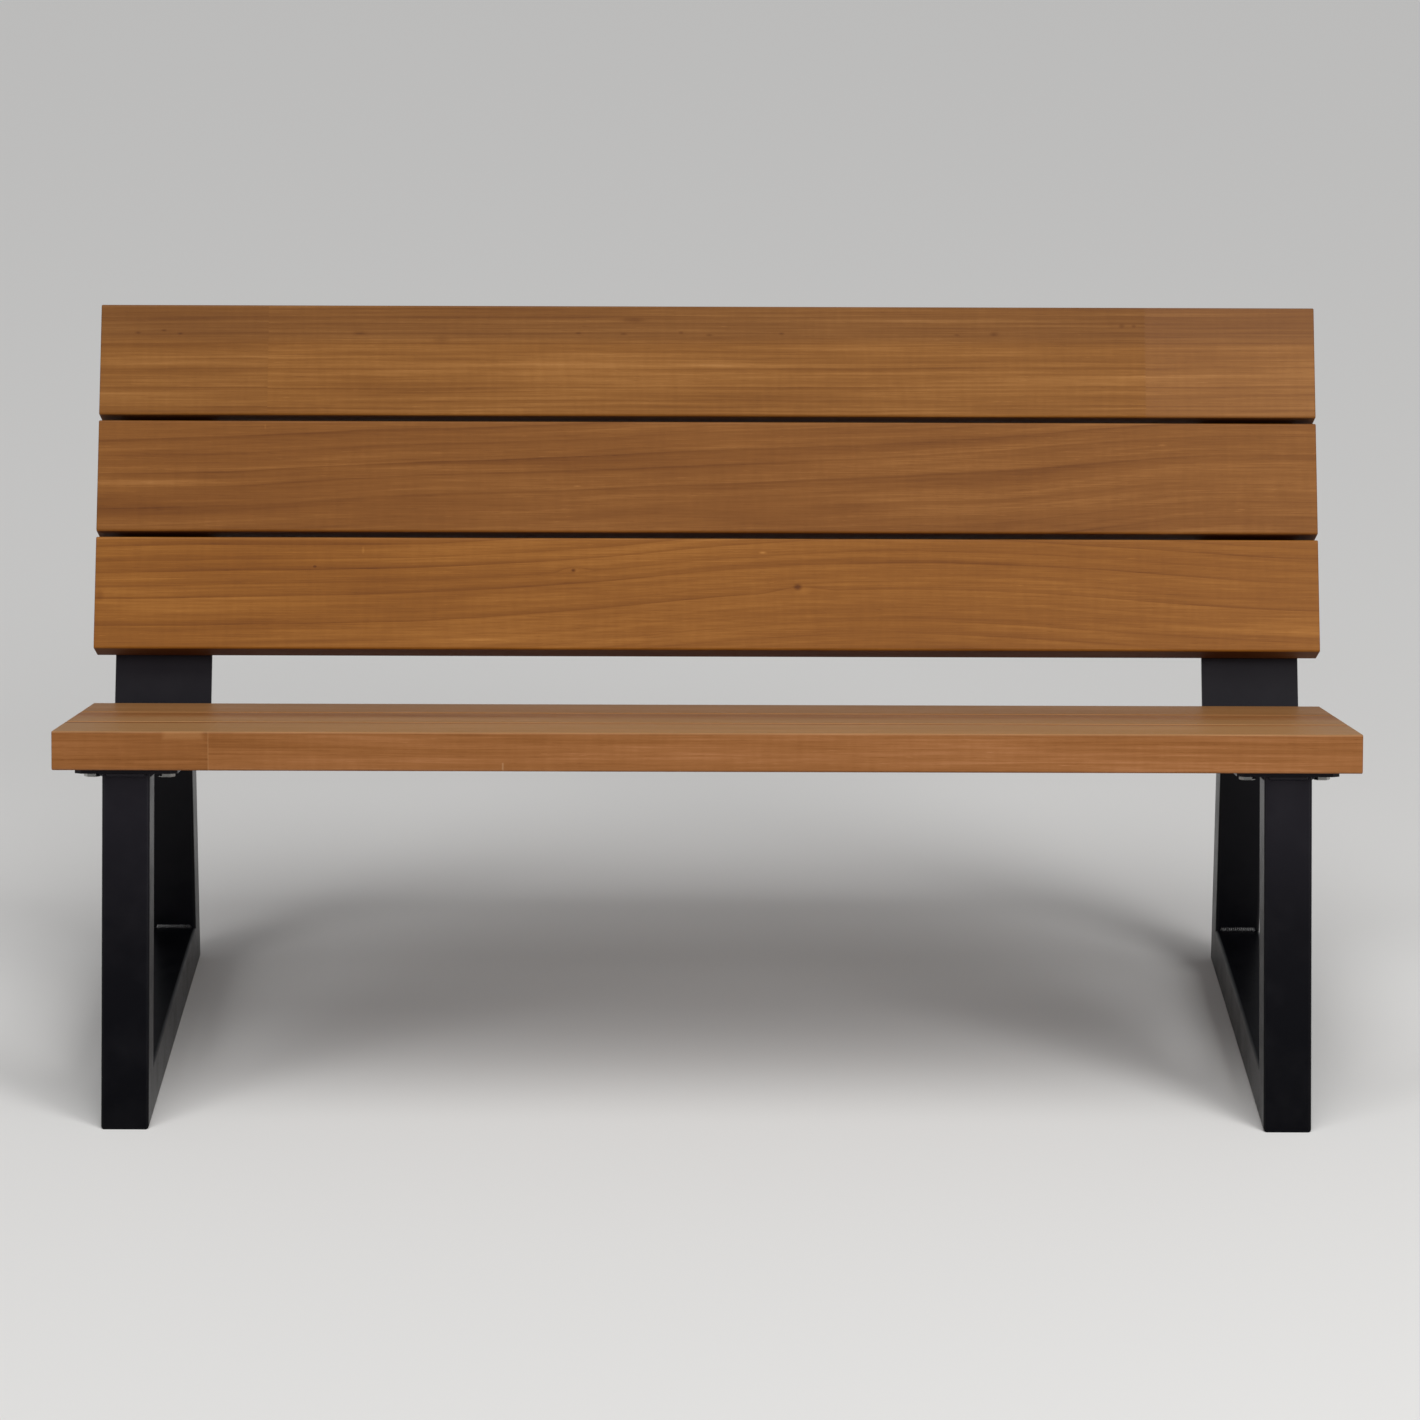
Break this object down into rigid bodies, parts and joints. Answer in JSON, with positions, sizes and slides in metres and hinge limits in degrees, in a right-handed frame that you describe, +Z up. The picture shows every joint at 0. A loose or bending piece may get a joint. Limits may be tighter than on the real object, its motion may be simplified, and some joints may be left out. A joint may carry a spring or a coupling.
{
  "type": "garden bench with back",
  "caption": "Outdoor bench with planed hardwood seat and back boards screwed to bent flat-bar brackets on welded square-tube side frames.",
  "frame": {"origin": "on the floor, at the middle of the bench's outer box", "axes": "+X along the length, -Y the front where people sit, +Z up"},
  "size_m": [1.5, 0.7514, 0.8279],
  "materials": {
    "oiled_hardwood": "planed and oiled, satin",
    "powder_coated_steel": "black fine-texture powder coat, matt",
    "powder_coated_weld": "powder coat over a weld bead",
    "stainless_steel": "plain stainless screw heads"
  },
  "bodies": {
    "root": {"seat_board_front": "oiled_hardwood", "seat_board_middle": "oiled_hardwood", "seat_board_rear": "oiled_hardwood", "back_board_lower": "oiled_hardwood", "back_board_middle": "oiled_hardwood", "back_board_upper": "oiled_hardwood", "left_front_post": "powder_coated_steel", "left_bottom_rail": "powder_coated_steel", "left_rear_post": "powder_coated_steel", "left_bracket": "powder_coated_steel", "right_front_post": "powder_coated_steel", "right_bottom_rail": "powder_coated_steel", "right_rear_post": "powder_coated_steel", "right_bracket": "powder_coated_steel", "left_front_foot_weld": "powder_coated_weld", "left_rear_foot_weld": "powder_coated_weld", "left_front_post_weld": "powder_coated_weld", "left_rear_post_weld": "powder_coated_weld", "right_front_foot_weld": "powder_coated_weld", "right_rear_foot_weld": "powder_coated_weld", "right_front_post_weld": "powder_coated_weld", "right_rear_post_weld": "powder_coated_weld", "left_seat_screws": "stainless_steel", "left_back_screws": "stainless_steel", "right_seat_screws": "stainless_steel", "right_back_screws": "stainless_steel"}
  },
  "joints": []
}
